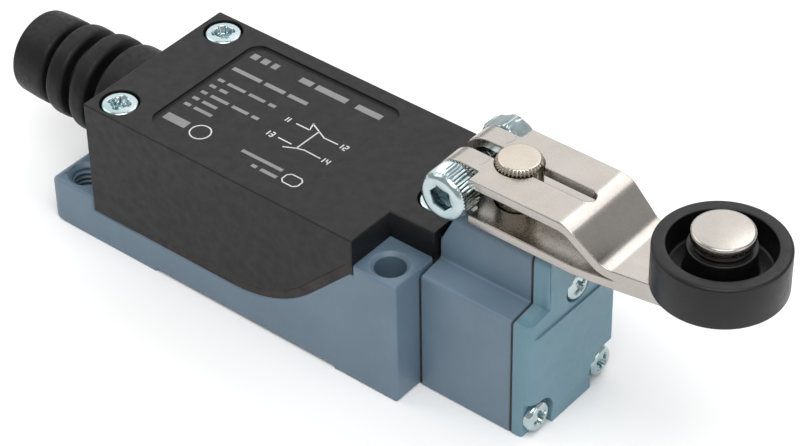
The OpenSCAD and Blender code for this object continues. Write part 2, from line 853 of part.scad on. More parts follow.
module terminal_screws() {
  color([0.78, 0.8, 0.8])
  for (x = [nc_x, no_x], s = [-1, 1]) screw_z(x, s * term_y, block_z1 + 1.62, 7, m3_r, 1.9, 1.8);
}

module terminal_plates() {
  color([0.76, 0.78, 0.78])
  for (x = [nc_x, no_x], s = [-1, 1]) difference() {
    box([x - 2.2, s * term_y - 2, block_z1 + 0.82], [x + 2.2, s * term_y + 2, block_z1 + 1.6]);
    rod_z(0, 30, m3_r + 0.05, x, s * term_y);
  }
}

// ---------- output ----------

base_housing();
cover_gasket();
cover();
cover_screws();
cable_boot();
earth_screw();
head_gasket();
head_block();
head_screws();
end_gasket();
end_plate();
end_plate_screws();
shaft_bush();
shaft_seal();
shaft();
thrust_washer();
cam();
cam_pin();
lever_arm();
clamp_screw();
clamp_nut();
roller_pin();
roller_washer();
roller();
return_piston();
return_spring();
plunger();
plunger_seal();
block_base();
block_cover();
block_screws();
carrier();
carrier_spring();
closed_bridge();
closed_bridge_spring();
open_bridge();
open_bridge_spring();
terminal_11();
terminal_12();
terminal_13();
terminal_14();
terminal_screws();
terminal_plates();
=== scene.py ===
"""Looks of the limit switch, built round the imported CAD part."""

import json
import math

import bmesh
import bpy
from mathutils import Matrix, Vector

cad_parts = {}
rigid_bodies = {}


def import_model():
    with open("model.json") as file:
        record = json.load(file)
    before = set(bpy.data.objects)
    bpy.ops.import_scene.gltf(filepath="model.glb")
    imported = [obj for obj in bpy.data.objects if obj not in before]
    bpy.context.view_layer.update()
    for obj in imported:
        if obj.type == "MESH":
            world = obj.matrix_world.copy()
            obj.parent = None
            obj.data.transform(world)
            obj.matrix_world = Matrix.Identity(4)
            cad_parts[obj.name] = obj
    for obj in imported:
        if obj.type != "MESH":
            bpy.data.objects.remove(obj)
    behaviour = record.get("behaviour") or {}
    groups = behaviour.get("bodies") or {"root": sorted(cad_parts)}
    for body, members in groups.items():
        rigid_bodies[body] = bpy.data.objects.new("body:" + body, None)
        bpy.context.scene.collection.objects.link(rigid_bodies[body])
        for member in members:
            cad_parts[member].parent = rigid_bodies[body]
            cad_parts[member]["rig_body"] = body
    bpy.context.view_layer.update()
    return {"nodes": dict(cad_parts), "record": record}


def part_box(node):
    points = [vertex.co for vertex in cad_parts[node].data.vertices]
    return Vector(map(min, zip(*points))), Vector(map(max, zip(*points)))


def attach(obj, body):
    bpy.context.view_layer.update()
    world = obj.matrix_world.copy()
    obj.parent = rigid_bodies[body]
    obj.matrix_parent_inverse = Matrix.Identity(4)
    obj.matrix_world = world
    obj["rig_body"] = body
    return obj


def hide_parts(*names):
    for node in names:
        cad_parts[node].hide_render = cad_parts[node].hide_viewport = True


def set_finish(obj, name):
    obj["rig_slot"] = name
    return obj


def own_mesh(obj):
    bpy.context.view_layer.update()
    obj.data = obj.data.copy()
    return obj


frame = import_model()
NODES = frame["nodes"]
MM = 0.001
TAU = 2 * math.pi

# ---------------------------------------------------------------- materials


def srgb(r, g, b):
    """Linear colour of an 8-bit display colour."""
    def lin(c):
        c /= 255.0
        return c / 12.92 if c <= 0.04045 else ((c + 0.055) / 1.055) ** 2.4
    return (lin(r), lin(g), lin(b), 1.0)


def scaled(colour, k):
    """A colour made lighter or darker by the factor k."""
    return (min(1, colour[0] * k), min(1, colour[1] * k), min(1, colour[2] * k), 1.0)


class Tree:
    """A material's node tree, with one shader that the methods below feed."""

    def __init__(self, name):
        self.mat = bpy.data.materials.new(name)
        self.mat.use_nodes = True
        self.t = self.mat.node_tree
        self.t.nodes.clear()
        self.out = self.t.nodes.new("ShaderNodeOutputMaterial")
        self.bsdf = self.t.nodes.new("ShaderNodeBsdfPrincipled")
        self.t.links.new(self.bsdf.outputs[0], self.out.inputs[0])
        self.coord = self.t.nodes.new("ShaderNodeTexCoord").outputs["Object"]

    def set(self, **values):
        """Sets the shader's own sockets; a name's underscores stand for spaces."""
        for k, v in values.items():
            self.bsdf.inputs[k.replace("_", " ")].default_value = v
        return self

    def link(self, a, b):
        self.t.links.new(a, b)

    def stretch(self, scale):
        """Object coordinates, scaled along each axis."""
        m = self.t.nodes.new("ShaderNodeMapping")
        m.inputs["Scale"].default_value = scale
        self.link(self.coord, m.inputs["Vector"])
        return m.outputs[0]

    def noise(self, scale, detail=3.0, rough=0.55, vector=None):
        """Soft noise, with scale cells to a metre."""
        n = self.t.nodes.new("ShaderNodeTexNoise")
        n.inputs["Scale"].default_value = scale
        n.inputs["Detail"].default_value = detail
        n.inputs["Roughness"].default_value = rough
        self.link(vector or self.coord, n.inputs["Vector"])
        return n.outputs["Fac"]

    def cells(self, scale):
        """Distance to the nearest of scattered points, with scale of them to a metre."""
        n = self.t.nodes.new("ShaderNodeTexVoronoi")
        n.inputs["Scale"].default_value = scale
        self.link(self.coord, n.inputs["Vector"])
        return n.outputs["Distance"]

    def ramp(self, value, stops):
        """Colour for a value, from stops of (place, colour)."""
        r = self.t.nodes.new("ShaderNodeValToRGB")
        e = r.color_ramp.elements
        while len(e) < len(stops):
            e.new(0.5)
        for item, (pos, col) in zip(e, stops):
            item.position = pos
            item.color = col if len(col) == 4 else (*col, 1)
        self.link(value, r.inputs[0])
        return r.outputs[0]

    def span(self, value, low, high):
        """Noise value 0.3..0.7 mapped to low..high."""
        r = self.t.nodes.new("ShaderNodeMapRange")
        r.inputs["From Min"].default_value = 0.3
        r.inputs["From Max"].default_value = 0.7
        r.inputs["To Min"].default_value = low
        r.inputs["To Max"].default_value = high
        self.link(value, r.inputs["Value"])
        return r.outputs[0]

    def bump(self, height, strength, distance):
        """Adds bumps on top of any bumps that are there already."""
        b = self.t.nodes.new("ShaderNodeBump")
        b.inputs["Strength"].default_value = strength
        b.inputs["Distance"].default_value = distance
        self.link(height, b.inputs["Height"])
        if self.bsdf.inputs["Normal"].is_linked:
            self.link(self.bsdf.inputs["Normal"].links[0].from_socket, b.inputs["Normal"])
        self.link(b.outputs[0], self.bsdf.inputs["Normal"])

    def colour(self, socket):
        """Feeds the base colour."""
        self.link(socket, self.bsdf.inputs["Base Color"])

    def rough(self, socket):
        """Feeds the roughness."""
        self.link(socket, self.bsdf.inputs["Roughness"])


def paint(name, colour, rough=0.42):
    """Stoved paint on a die casting: slight orange peel, faint patches, rare dust nibs."""
    t = Tree(name).set(Metallic=0.0, Specular_IOR_Level=0.5)
    t.colour(t.ramp(t.noise(140, 4), [(0.3, scaled(colour, 0.93)), (0.7, scaled(colour, 1.06))]))
    t.rough(t.span(t.noise(900, 3), rough - 0.05, rough + 0.07))
    t.bump(t.noise(1500, 2, 0.4), 0.35, 0.00006)
    t.bump(t.ramp(t.cells(420), [(0.0, (1, 1, 1)), (0.06, (0, 0, 0))]), 0.25, 0.00005)
    return t.mat


def plastic(name, colour, rough=0.5, grain=5200, depth=0.00004, strength=0.35):
    """Moulded plastic with a fine spark-eroded grain."""
    t = Tree(name).set(Metallic=0.0, Specular_IOR_Level=0.36)
    t.colour(t.ramp(t.noise(220, 5), [(0.3, scaled(colour, 0.88)), (0.7, scaled(colour, 1.12))]))
    t.rough(t.span(t.noise(700, 4), rough - 0.06, rough + 0.08))
    t.bump(t.noise(grain, 2, 0.6), strength, depth)
    return t.mat


def rubber(name, colour, rough=0.5):
    """Moulded rubber with a slightly uneven surface."""
    t = Tree(name).set(Metallic=0.0, Specular_IOR_Level=0.3)
    t.colour(t.ramp(t.noise(500, 5), [(0.35, scaled(colour, 0.8)), (0.7, scaled(colour, 1.35))]))
    t.rough(t.span(t.noise(1200, 4), rough - 0.08, rough + 0.12))
    t.bump(t.noise(3800, 3), 0.3, 0.00004)
    return t.mat


def metal(name, colour, rough=0.25, brush=(1, 1, 1), scale=900, tint=None, depth=0.00002, strength=0.3):
    """Plated metal; its grain is stretched along an axis with a small brush value."""
    t = Tree(name).set(Metallic=1.0)
    low = tint or scaled(colour, 0.9)
    t.colour(t.ramp(t.noise(260, 4), [(0.3, low), (0.68, scaled(colour, 1.03))]))
    streak = t.noise(scale, 4, 0.6, t.stretch(brush))
    t.rough(t.span(streak, rough - 0.03, rough + 0.04))
    t.bump(streak, strength, depth)
    return t.mat


def nickel(name, colour, tint):
    """Matt nickel plating with a very fine, even grain."""
    return metal(name, colour, 0.25, scale=1500, tint=tint, depth=0.000006, strength=0.1)


BLUE = srgb(96, 116, 132)
TEAL = srgb(98, 132, 146)
MATERIALS = {
    "base_paint": paint("base_paint", BLUE),
    "end_paint": paint("end_paint", TEAL, 0.46),
    "cover_plastic": plastic("cover_plastic", srgb(14, 14, 15), 0.5, 5200, 0.00002, 0.3),
    "gasket_rubber": rubber("gasket_rubber", srgb(52, 48, 46), 0.75),
    "boot_rubber": rubber("boot_rubber", srgb(9, 9, 10), 0.5),
    "nickel_steel": nickel("nickel_steel", srgb(177, 172, 166), srgb(172, 167, 161)),
    "zinc_steel": metal("zinc_steel", srgb(190, 201, 203), 0.17, tint=srgb(160, 182, 186), strength=0.15),
    "cam_steel": metal("cam_steel", srgb(150, 150, 152), 0.35, (1, 1, 0.2)),
    "spring_steel": metal("spring_steel", srgb(180, 180, 184), 0.25, (0.2, 1, 1)),
    "brass": metal("brass", srgb(214, 178, 96), 0.3, (0.3, 1, 1)),
    "roller_plastic": plastic("roller_plastic", srgb(9, 9, 9), 0.4, 3000, 0.00003, 0.25),
    "inner_plastic": plastic("inner_plastic", srgb(226, 222, 208), 0.4),
    "block_plastic": plastic("block_plastic", srgb(44, 44, 46), 0.5),
    "carrier_plastic": plastic("carrier_plastic", srgb(176, 58, 44), 0.4),
}
PRINT = plastic("label_print", srgb(200, 200, 200), 0.55)
BAR_PRINT = plastic("bar_print", srgb(128, 128, 128), 0.55)
SHAFT_STEEL = nickel("shaft_steel", srgb(196, 188, 176), srgb(188, 180, 167))
SLOT_OF = {s["node"]: s["material_slot"] for s in frame["record"]["subparts"]}

for node, ob in NODES.items():
    ob.data.materials.clear()
    ob.data.materials.append(MATERIALS[SLOT_OF[node]])

# ---------------------------------------------------------------- places and sizes, in millimetres


def mm(metres):
    """A length in millimetres, to a tenth of a micrometre."""
    return round(metres / MM, 4)


JOINTS = {joint["name"]: joint for joint in frame["record"]["behaviour"]["joints"]}
MOUNTS = {mount["name"]: [mm(v) for v in mount["pos_m"]] for mount in frame["record"]["mounts"]}

# Axes of the shaft and the roller along X.
SHAFT_X = mm(JOINTS["lever_swing"]["pos_m"][0])
ROLLER_X = mm(JOINTS["roller_spin"]["pos_m"][0])
# The mounting holes that open upwards, and the height of the cable boot's axis.
HEAD_HOLE = MOUNTS["through_hole_head"]
FAR_HOLE = MOUNTS["through_hole_cable"]
NEAR_HOLE = MOUNTS["tapped_hole_cable"]
BOOT_Z = MOUNTS["cable_entry"][2]
# Cover screws as (x, y), and the height of their seats.
COVER_SCREWS = ((-51.3, -10.6), (-51.3, 10.6), (-3.9, 0.0))
COVER_SEAT_Z = 22.05
# End plate screws as (y, z), and the place of their seats along X.
PLATE_SCREWS = ((-6.85, 2.7), (6.85, 2.7), (1.1, 19.85))
PLATE_SEAT_X = 17.0
# Middle of the lever's fold as (x, z), how far from mid-width the clamp screw's head and the nut
# start, and the height of the upper leg's top face.
FOLD = (3.0, 32.55)
CLAMP_Y = 4.47
LEVER_TOP = 36.15
# Radius of the roller and its bore, the heights of its two faces, and the floor of its recess.
ROLLER_R = 8.6
ROLLER_BORE = 2.55
ROLLER_Z0 = 32.15
ROLLER_Z1 = 38.45
RECESS_Z = ROLLER_Z1 - 3.9
# Floor of the label recess, the width of a thin printed line, the gap between two bars of print,
# and how high above its face a print starts and ends.
PRINT_Z = 23.6
PRINT_W = 0.2
BAR_GAP = 0.7
INK_LOW = 0.002
INK_HIGH = 0.02
# Edges that turn by more than this many degrees are rounded off.
EDGE_ANGLE = 30

# ---------------------------------------------------------------- mesh helpers


def add_object(name, mesh, slot, body, replaced=(), material=None):
    """A piece that rides body and is looked up by slot; replaced names the CAD nodes it stands for."""
    ob = bpy.data.objects.new(name, mesh)
    bpy.context.scene.collection.objects.link(ob)
    ob.data.materials.clear()
    ob.data.materials.append(material or MATERIALS[slot])
    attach(ob, body)
    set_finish(ob, slot)
    if replaced:
        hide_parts(*replaced)
    return ob


def shade(mesh, angle=32):
    """Smooth shading that keeps edges sharper than angle."""
    bm = bmesh.new()
    bm.from_mesh(mesh)
    bmesh.ops.recalc_face_normals(bm, faces=bm.faces)
    limit = math.radians(angle)
    for f in bm.faces:
        f.smooth = True
    for ed in bm.edges:
        ed.smooth = not (len(ed.link_faces) == 2 and ed.calc_face_angle(0.0) > limit)
    bm.to_mesh(mesh)
    bm.free()
    return mesh


def rounded(node, body, width, seg=2, share=None):
    """Copy of a CAD node with its edges rounded off; share(x, y, z) gives a point's share of the width."""
    me = NODES[node].data.copy()
    me.name = node + "_look"
    bm = bmesh.new()
    bm.from_mesh(me)
    bmesh.ops.remove_doubles(bm, verts=bm.verts, dist=2e-6)
    bmesh.ops.dissolve_limit(bm, angle_limit=math.radians(0.6), verts=bm.verts, edges=bm.edges)
    bmesh.ops.recalc_face_normals(bm, faces=bm.faces)
    limit = math.radians(EDGE_ANGLE)
    layers = bm.edges.layers.float
    weight = layers.get("bevel_weight_edge") or layers.new("bevel_weight_edge")
    for ed in bm.edges:
        sharp = len(ed.link_faces) == 2 and ed.calc_face_angle(0.0) > limit
        middle = (ed.verts[0].co + ed.verts[1].co) / 2 / MM
        ed[weight] = (share(*middle) if share else 1.0) if sharp else 0.0
        ed.smooth = not (sharp and ed[weight] == 0.0)
    for f in bm.faces:
        f.smooth = True
    bm.to_mesh(me)
    bm.free()
    ob = add_object(node + "_look", me, SLOT_OF[node], body, [node])
    mod = ob.modifiers.new("round", "BEVEL")
    mod.width = width * MM
    mod.segments = seg
    mod.limit_method = "WEIGHT"
    mod.use_clamp_overlap = False
    mod.miter_outer = "MITER_ARC"
    mod.harden_normals = False
    even = ob.modifiers.new("even", "WEIGHTED_NORMAL")
    even.weight = 100
    even.keep_sharp = True
    return ob


def frame_of(axis):
    """Matrix that turns +Z to axis."""
    return Vector(axis).to_track_quat("Z", "Y").to_matrix().to_4x4()


def circle(r, z, steps):
    """Points of a circle round the Z axis."""
    turns = [TAU * k / steps for k in range(steps)]
    return [(r * math.cos(a), r * math.sin(a), z) for a in turns]


def loft(rings, close_start=True, close_end=True):
    """Mesh from rings of equal length, each a list of points."""
    n = len(rings[0])
    verts = [p for ring in rings for p in ring]
    faces = []
    for i in range(len(rings) - 1):
        for j in range(n):
            k = (j + 1) % n
            faces.append((i * n + j, i * n + k, (i + 1) * n + k, (i + 1) * n + j))
    if close_start:
        faces.append(tuple(range(n - 1, -1, -1)))
    if close_end:
        faces.append(tuple(range((len(rings) - 1) * n, len(rings) * n)))
    return verts, faces


def place(name, verts, faces, centre=(0, 0, 0), axis=(0, 0, 1), angle=32, turn=0.0):
    """Mesh of points in millimetres, moved to centre with its Z along axis."""
    me = bpy.data.meshes.new(name)
    tilt = frame_of(axis) if axis else Matrix.Identity(4)
    m = Matrix.Translation(Vector(centre) * MM) @ tilt @ Matrix.Rotation(turn, 4, "Z") @ Matrix.Scale(MM, 4)
    me.from_pydata([m @ Vector(v) for v in verts], [], faces)
    me.validate()
    return shade(me, angle)


def arc(cx, cz, r, a0, a1, n):
    """Points of an arc in the (r, z) plane, angles in degrees."""
    turns = [math.radians(a0 + (a1 - a0) * i / n) for i in range(n + 1)]
    return [(cx + r * math.cos(a), cz + r * math.sin(a)) for a in turns]


def lathe(profile, steps=96, wave=None):
    """Verts and faces of a turned shape; wave(angle, r, z) may change the radius."""
    rings = []
    for r, z in profile:
        ring = []
        for k in range(steps):
            a = TAU * k / steps
            rr = wave(a, r, z) if wave else r
            ring.append((rr * math.cos(a), rr * math.sin(a), z))
        rings.append(ring)
    return loft(rings, profile[0][0] > 1e-6, profile[-1][0] > 1e-6)


def turned(name, profile, slot, body, centre, axis=(0, 0, 1), replaced=(), steps=96, wave=None,
           closed=False, material=None):
    """A turned piece; closed joins the last ring to the first, for a shape with a bore."""
    verts, faces = lathe(profile, steps, wave)
    if closed:
        n = len(profile)
        faces = [f for f in faces if len(f) == 4]
        for j in range(steps):
            k = (j + 1) % steps
            faces.append(((n - 1) * steps + j, (n - 1) * steps + k, k, j))
    return add_object(name, place(name, verts, faces, centre, axis), slot, body, replaced, material)


def fillet(profile, radii, steps=5):
    """Rounds the corners of an open (r, z) profile; radii holds one radius per point."""
    out = []
    for i, p in enumerate(profile):
        rad = radii[i]
        if rad <= 0 or i in (0, len(profile) - 1):
            out.append(p)
            continue
        a, b = Vector(profile[i - 1]) - Vector(p), Vector(profile[i + 1]) - Vector(p)
        la, lb = a.length, b.length
        a.normalize()
        b.normalize()
        half = a.angle(b) / 2
        if half > 1.55:
            out.append(p)
            continue
        cut = min(rad / math.tan(half), la * 0.49, lb * 0.49)
        rr = cut * math.tan(half)
        start, end = Vector(p) + a * cut, Vector(p) + b * cut
        centre = Vector(p) + (a + b).normalized() * (rr / math.sin(half))
        u, v = start - centre, end - centre
        sweep = u.angle(v)
        for k in range(steps + 1):
            t = k / steps
            w = (u * math.sin((1 - t) * sweep) + v * math.sin(t * sweep)) / math.sin(sweep)
            out.append(tuple(centre + w))
    return out


def strip(bm, x0, y0, x1, y1, w, z=PRINT_Z):
    """A thin printed line from one point to another."""
    d = Vector((x1 - x0, y1 - y0, 0))
    n = Vector((-d.y, d.x, 0)).normalized() * (w / 2)
    p = [Vector((x0, y0, 0)) + n, Vector((x0, y0, 0)) - n, Vector((x1, y1, 0)) - n, Vector((x1, y1, 0)) + n]
    low = [bm.verts.new((v.x * MM, v.y * MM, (z + INK_LOW) * MM)) for v in p]
    high = [bm.verts.new((v.x * MM, v.y * MM, (z + INK_HIGH) * MM)) for v in p]
    bm.faces.new(high)
    bm.faces.new(low[::-1])
    for i in range(4):
        bm.faces.new((low[i], low[(i + 1) % 4], high[(i + 1) % 4], high[i]))


def printed(name, draw, slot, body, material):
    """A piece of thin lines that the function draw puts into its mesh."""
    bm = bmesh.new()
    draw(bm)
    me = bpy.data.meshes.new(name)
    bm.to_mesh(me)
    bm.free()
    return add_object(name, me, slot, body, (), material)


def smooth_step(x, a, b):
    """0 before a, 1 after b, and smooth between them."""
    t = min(1.0, max(0.0, (x - a) / (b - a)))
    return t * t * (3 - 2 * t)


def cross_depth(x, y, r):
    """Depth of a cross recess at a point of a screw head, as a share of its full depth."""
    reach = 0.66 * r
    arm = 0.17 * r
    rho = math.hypot(x, y)
    aside = min(abs(x), abs(y))
    width = 1 - smooth_step(aside, arm * 0.75, arm * 1.25)
    length = 1 - smooth_step(rho, reach * 0.55, reach)
    core = 1 - smooth_step(rho, 0.22 * r, 0.36 * r)
    return max(width * length, core)


def star_depth(x, y, r):
    """Depth of a cross recess with a slot, as on a combination head."""
    root_two = 1.4142
    notches = cross_depth((x + y) / root_two, (x - y) / root_two, r * 0.8)
    return max(cross_depth(x, y, r), notches * 0.55)


def screw(name, centre, axis, turn, recess, r, h, crown, depth, shank, shank_r, edge):
    """Screw with its seat at centre and its head along axis.

    The head has the radius r, the height h, a crown on top and a rounded edge. recess(x, y, r) gives
    the share of depth that is cut into it. The shank runs down from the seat.
    """
    steps, rings = 120, 34
    profile = [(r - 0.05, 0.0), (r, 0.12), (r, h - edge - 0.05)] + arc(r - edge, h - edge, edge, 10, 90, 7)
    profile = [(shank_r - 0.2, -shank), (shank_r, -shank + 0.3), (shank_r, 0.0)] + profile
    rows = [circle(pr, pz, steps) for pr, pz in profile]
    top_r = r - edge
    for i in range(1, rings):
        pr = top_r * (1 - i / rings)
        crown_z = h + crown * (1 - (pr / top_r) ** 2)
        rows.append([(x, y, crown_z - depth * recess(x, y, r)) for x, y, z in circle(pr, 0, steps)])
    verts, faces = loft(rows)
    return add_object(name, place(name, verts, faces, centre, axis, 40, turn), "zinc_steel", "housing")


def join(name, objects, replaced=()):
    """Joins pieces on one body into one piece."""
    me = bpy.data.meshes.new(name)
    bm = bmesh.new()
    for ob in objects:
        bm.from_mesh(ob.data)
    bm.to_mesh(me)
    bm.free()
    first = objects[0]
    slot, body, mat = first["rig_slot"], first["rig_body"], first.data.materials[0]
    for ob in objects:
        bpy.data.objects.remove(ob)
    return add_object(name, me, slot, body, replaced, mat)


# ---------------------------------------------------------------- castings, cover and lever


def near(x, y, centre, r):
    """Whether a point lies within r of centre, seen along Z."""
    return math.hypot(x - centre[0], y - centre[1]) < r


def base_share(x, y, z):
    """Sharp edges inside, crisp ones round the holes, softer ones outside."""
    if near(x, y, HEAD_HOLE, 3.0) or near(x, y, NEAR_HOLE, 3.0) or near(x, y, FAR_HOLE, 2.4):
        return 0.2
    inside = -63 < x < -0.5 and abs(y) < 12.5 and z > 1
    end_wall = x > -0.6 and abs(y) < 9 and 1 < z < 19
    return 0.0 if inside or end_wall else 1.0


def head_share(x, y, z):
    """No rounding inside, on the openings of the two end faces and round the bore for the shaft."""
    opening = abs(y) < 8.8 and 0.5 < z < 18.5 or abs(y) < 5 and z < 26.5
    bore = near(x, y, (SHAFT_X, 0), 5.2) and z > 15
    return 0.0 if opening or bore else 1.0


def cover_share(x, y, z):
    """Less rounding at the screws and the label recess, and none inside."""
    if z > 22 and any(near(x, y, centre, 3.1) for centre in COVER_SCREWS):
        return 0.4
    if -53.5 < x < -2.7 and abs(y) < 12.6 and z < 22.9:
        return 0.0
    if z > 23 and -46.5 < x < -18.5 and abs(y) < 12:
        return 0.6
    return 1.0


def plate_share(x, y, z):
    """No rounding on the shallow step, nor where the neck stands on the round shoulder."""
    step = 17.7 < x and 16.5 < z < 17.2
    foot = 15.4 < x and 16.7 < z < 20.0 and abs(y) > 3.9
    return 0.0 if step or foot else 1.0


def lever_share(x, y, z):
    """No rounding where the legs' taper meets the round end, nor on the short edges of the fold."""
    taper = 37.5 < x < 39.5 and 3.4 < abs(y) < 4.8
    return 0.0 if taper or abs(y) > 6.0 and 5.0 < x < 7.5 else 1.0


rounded("base_housing", "housing", 0.4, 3, base_share)
rounded("head_block", "housing", 0.3, 3, head_share)
rounded("end_plate", "housing", 0.2, 3, plate_share)
rounded("cover", "housing", 0.22, 3, cover_share)
rounded("lever_arm", "lever", 0.2, 2, lever_share)

# ---------------------------------------------------------------- press marks on the lever's fingers


def press_marks(bm):
    """Two thin arcs on the upper leg, about a hundredth of a millimetre proud of it."""
    outline = [(4.6, 1.35), (5.25, 1.1), (5.62, 0.6), (5.75, 0), (5.68, -0.7), (5.35, -1.4)]
    for centre in (3.4, -2.1):
        for (x0, y0), (x1, y1) in zip(outline, outline[1:]):
            strip(bm, x0, centre + y0, x1, centre + y1, 0.07, LEVER_TOP - 0.012)


printed("press_marks", press_marks, "nickel_steel", "lever", MATERIALS["cam_steel"])

# ---------------------------------------------------------------- cable boot


def boot_profile():
    """Outer profile of the boot from its open end to the wall, as (r, x) pairs."""
    pts = [(3.0, -77.9), (5.0, -77.9), (6.3, -77.9), (6.5, -74.5), (6.5, -71.9), (5.0, -71.6)]
    rad = [0, 0.1, 1.2, 2, 0.9, 0.5]
    for x0, x1, r in ((-70.5, -67.6, 6.95), (-65.5, -62.7, 7.4), (-60.8, -55.5, 7.55)):
        pts += [(5.0, x0 - 0.1), (r - 0.1, x0), (r, x0 + 0.8), (r - 0.05, x1), (5.0, x1 + 0.25)]
        rad += [0.5, 0.45, 0.3, 0.9, 0.5]
    pts = pts[:-1] + [(5.4, -55.2), (5.45, -53.0), (6.4, -52.9), (6.4, -51.4), (3.0, -51.4)]
    rad = rad[:-1] + [0.1, 0.1, 0.1, 0.2, 0]
    return fillet(pts, rad, 5)


turned("cable_boot_look", boot_profile(), "boot_rubber", "housing", (0, 0, BOOT_Z), (1, 0, 0),
       ["cable_boot"], 128, closed=True)

# ---------------------------------------------------------------- screws

screws = []
for (x, y), turn, shank in zip(COVER_SCREWS, (0.35, 0.9, 0.2), (20, 20, 7)):
    screws.append(screw("cover_screw", (x, y, COVER_SEAT_Z), (0, 0, 1), turn, star_depth, r=2.68, h=1.85,
                        crown=0.15, depth=1.2, shank=shank, shank_r=1.5, edge=0.5))
join("cover_screws_look", screws, ["cover_screws"])

screws = []
for (y, z), turn in zip(PLATE_SCREWS, (0.3, 1.0, 0.6)):
    screws.append(screw("plate_screw", (PLATE_SEAT_X, y, z), (1, 0, 0), turn, cross_depth, r=2.2, h=1.25,
                        crown=0.2, depth=1.0, shank=3.6, shank_r=1.5, edge=0.75))
join("end_plate_screws_look", screws, ["end_plate_screws"])

# ---------------------------------------------------------------- shaft with knurled end


def knurl(count, depth, z0, z1):
    """Radius function of round-bottomed grooves between the heights z0 and z1."""
    def wave(a, r, z):
        if z0 <= z <= z1:
            return r - depth * (0.5 - 0.5 * math.cos(count * a)) ** 0.8
        return r
    return wave


def shaft_wave(a, r, z):
    """Pointed teeth on the knurled end; on its chamfer they run on as beads."""
    if not 33.15 <= z <= 36.9:
        return r
    tooth = abs(((36 * a / TAU) % 1.0) * 2 - 1)
    fade = 1.0 if z < 36.4 else 0.8
    return r - 0.26 * fade * (1 - tooth) ** 1.2


shaft_profile = [
    (1.7, 1.6), (2.0, 1.9), (2.0, 4.6), (3.0, 4.62), (3.0, 17.0), (2.8, 17.1), (2.8, 21.0), (3.0, 21.1),
    (3.0, 33.1), (3.02, 33.14), (3.15, 33.2), (3.15, 34.2), (3.15, 35.4), (3.15, 36.2), (3.13, 36.45),
    (3.05, 36.68), (2.93, 36.85), (2.78, 36.98), (2.7, 37.04), (2.6, 37.05), (1.8, 37.05), (0.9, 37.05),
    (0.25, 37.05),
]
turned("shaft_look", shaft_profile, "nickel_steel", "lever", (SHAFT_X, 0, 0), (0, 0, 1), ["shaft"], 432,
       shaft_wave, material=SHAFT_STEEL)

# ---------------------------------------------------------------- clamp screw and nut


def hex_radius(a, flat):
    """Radius of a hexagon with the given half width across flats."""
    b = (a + math.pi / 6) % (math.pi / 3) - math.pi / 6
    return flat / math.cos(b)


def clamp_screw():
    """Knurled cap head with a hexagon socket, and its shank; head end along +Z."""
    steps = 288
    shank = [(1.75, -8.45), (1.95, -8.2), (1.95, 0.0)]
    side = [(3.3, 0.0), (3.5, 0.12), (3.5, 0.8), (3.5, 1.8), (3.5, 2.9), (3.45, 3.3), (3.3, 3.62)]
    top = [(3.05, 3.88), (2.75, 4.0), (2.3, 4.0), (2.05, 3.98)]
    socket = ((1.62, 3.9), (1.52, 3.7), (1.5, 2.2), (1.5, 1.35), (1.3, 1.3))
    wave = knurl(44, 0.2, 0.1, 3.2)
    turns = [TAU * k / steps for k in range(steps)]
    rows = []
    for r, z in shank + side + top:
        rows.append([(wave(a, r, z) * math.cos(a), wave(a, r, z) * math.sin(a), z) for a in turns])
    for flat, z in socket:
        radii = [hex_radius(a, flat) for a in turns]
        rows.append([(r * math.cos(a), r * math.sin(a), z) for r, a in zip(radii, turns)])
    rows.append(circle(0.1, 1.0, steps))
    return loft(rows)


verts, faces = clamp_screw()
me = place("clamp_screw_look", verts, faces, (FOLD[0], -CLAMP_Y, FOLD[1]), (0, -1, 0), 40, 0.3)
add_object("clamp_screw_look", me, "zinc_steel", "lever", ["clamp_screw"])


def clamp_nut():
    """Chamfered hexagon nut along +Y, in place, with a corner at 26 degrees in the XZ plane.

    The rows hold a distance along the nut and the largest radius there; 9 is beyond the corners.
    """
    steps = 144
    outside = [(0.0, 3.55), (0.15, 3.75), (0.45, 4.1), (1.6, 9), (2.75, 4.1), (3.05, 3.75), (3.2, 3.45)]
    bore = [(3.2, 2.4), (2.9, 2.0), (0.3, 2.0)]
    rows = []
    for h, cone in outside + bore:
        row = []
        for k in range(steps):
            a = TAU * k / steps
            r = min(hex_radius(a - math.radians(56), 3.5), cone) if cone > 2.5 else cone
            row.append((FOLD[0] + r * math.cos(a), CLAMP_Y + h, FOLD[1] + r * math.sin(a)))
        rows.append(row)
    verts, faces = loft(rows, False, False)
    last = (len(rows) - 1) * steps
    for j in range(steps):
        k = (j + 1) % steps
        faces.append((last + j, last + k, k, j))
    return verts, faces


verts, faces = clamp_nut()
me = place("clamp_nut_look", verts, faces, axis=None, angle=28)
add_object("clamp_nut_look", me, "zinc_steel", "lever", ["clamp_nut"])

# ---------------------------------------------------------------- roller and its pin

roller_profile = fillet(
    [(ROLLER_BORE, ROLLER_Z0), (ROLLER_R, ROLLER_Z0), (ROLLER_R, ROLLER_Z1), (6.8, ROLLER_Z1),
     (6.75, RECESS_Z), (4.45, RECESS_Z), (4.4, ROLLER_Z1), (ROLLER_BORE, ROLLER_Z1)],
    [0, 0.45, 0.45, 0.2, 0.5, 0.4, 0.2, 0])
turned("roller_look", roller_profile, "roller_plastic", "roller", (ROLLER_X, 0, 0), (0, 0, 1),
       ["roller"], 160, closed=True)

pin_profile = fillet(
    [(0.05, 28.14), (3.0, 28.14), (3.0, 28.94), (2.0, 28.94), (2.0, 31.8), (2.5, 31.8), (2.5, 38.65),
     (3.6, 38.65), (3.6, 39.3), (4.0, 39.45), (4.0, 40.75), (0.05, 40.75)],
    [0, 0.3, 0, 0, 0, 0, 0, 0, 0.05, 0.12, 0.35, 0], 4)
turned("roller_pin_look", pin_profile, "nickel_steel", "lever", (ROLLER_X, 0, 0), (0, 0, 1),
       ["roller_pin"], 128)

# ---------------------------------------------------------------- print on the cover

